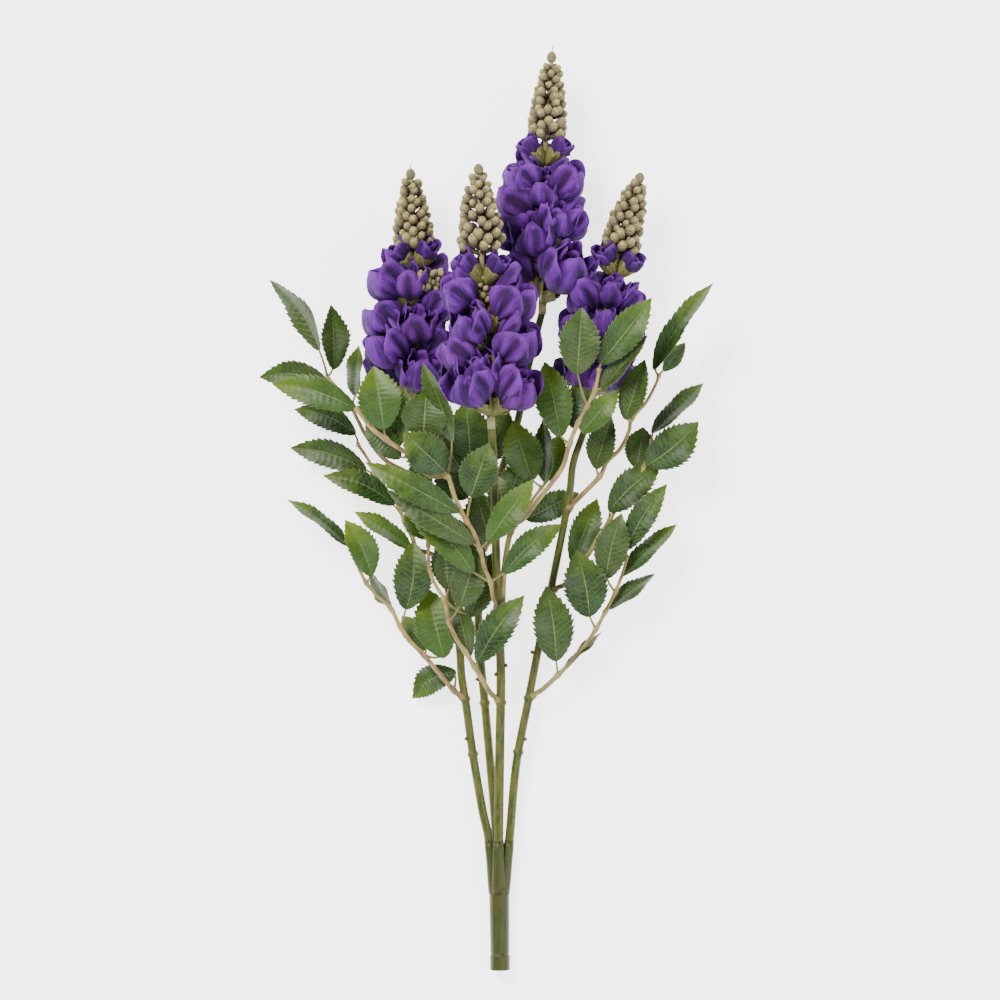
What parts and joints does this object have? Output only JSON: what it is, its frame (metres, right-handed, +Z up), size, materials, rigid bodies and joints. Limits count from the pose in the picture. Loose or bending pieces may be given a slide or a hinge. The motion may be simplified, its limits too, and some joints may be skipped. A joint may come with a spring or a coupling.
{
  "type": "artificial snapdragon spray",
  "caption": "Artificial snapdragon spray lying flat: purple flower heads with round-bud tips, and toothed leafy twigs, on plastic stems that join in a moulded sleeve.",
  "frame": {"origin": "on the surface that the spray lies on, below the middle of its bounding box", "axes": "+Y along the stems from the sleeve to the flower tips, +X to the right seen from above, +Z up from the surface"},
  "size_m": [0.306, 0.62, 0.1138],
  "materials": {
    "stem_green": "olive-green moulded plastic, satin, with faint lengthwise flow lines",
    "petal_purple": "pressed violet polyester cloth with darker lengthwise streaks and a lighter rim",
    "bud_olive": "tan-olive flocked plastic balls, brownish where shaded",
    "calyx_olive": "soft olive plastic calyx, matt",
    "leaf_green": "printed green polyester cloth with pale veins and a pressed midrib",
    "twig_tan": "tan moulded plastic twigs with red-brown stretches"
  },
  "bodies": {
    "root": {"stem_sleeve": "stem_green", "stem_left": "stem_green", "stem_back": "stem_green", "stem_centre": "stem_green", "stem_right": "stem_green", "head_left": "petal_purple", "head_tall": "petal_purple", "head_centre": "petal_purple", "head_right": "petal_purple", "buds_left": "bud_olive", "buds_tall": "bud_olive", "buds_centre": "bud_olive", "buds_right": "bud_olive", "twig_left_low": "leaf_green", "twig_left_mid": "leaf_green", "twig_left_high": "leaf_green", "twig_left_thin": "leaf_green", "twig_front": "leaf_green", "twig_right_high": "leaf_green", "twig_right_mid": "leaf_green", "twig_right_low": "leaf_green", "twig_right_thin": "leaf_green", "twig_back_right": "leaf_green", "twig_back_left": "leaf_green"}
  },
  "joints": []
}
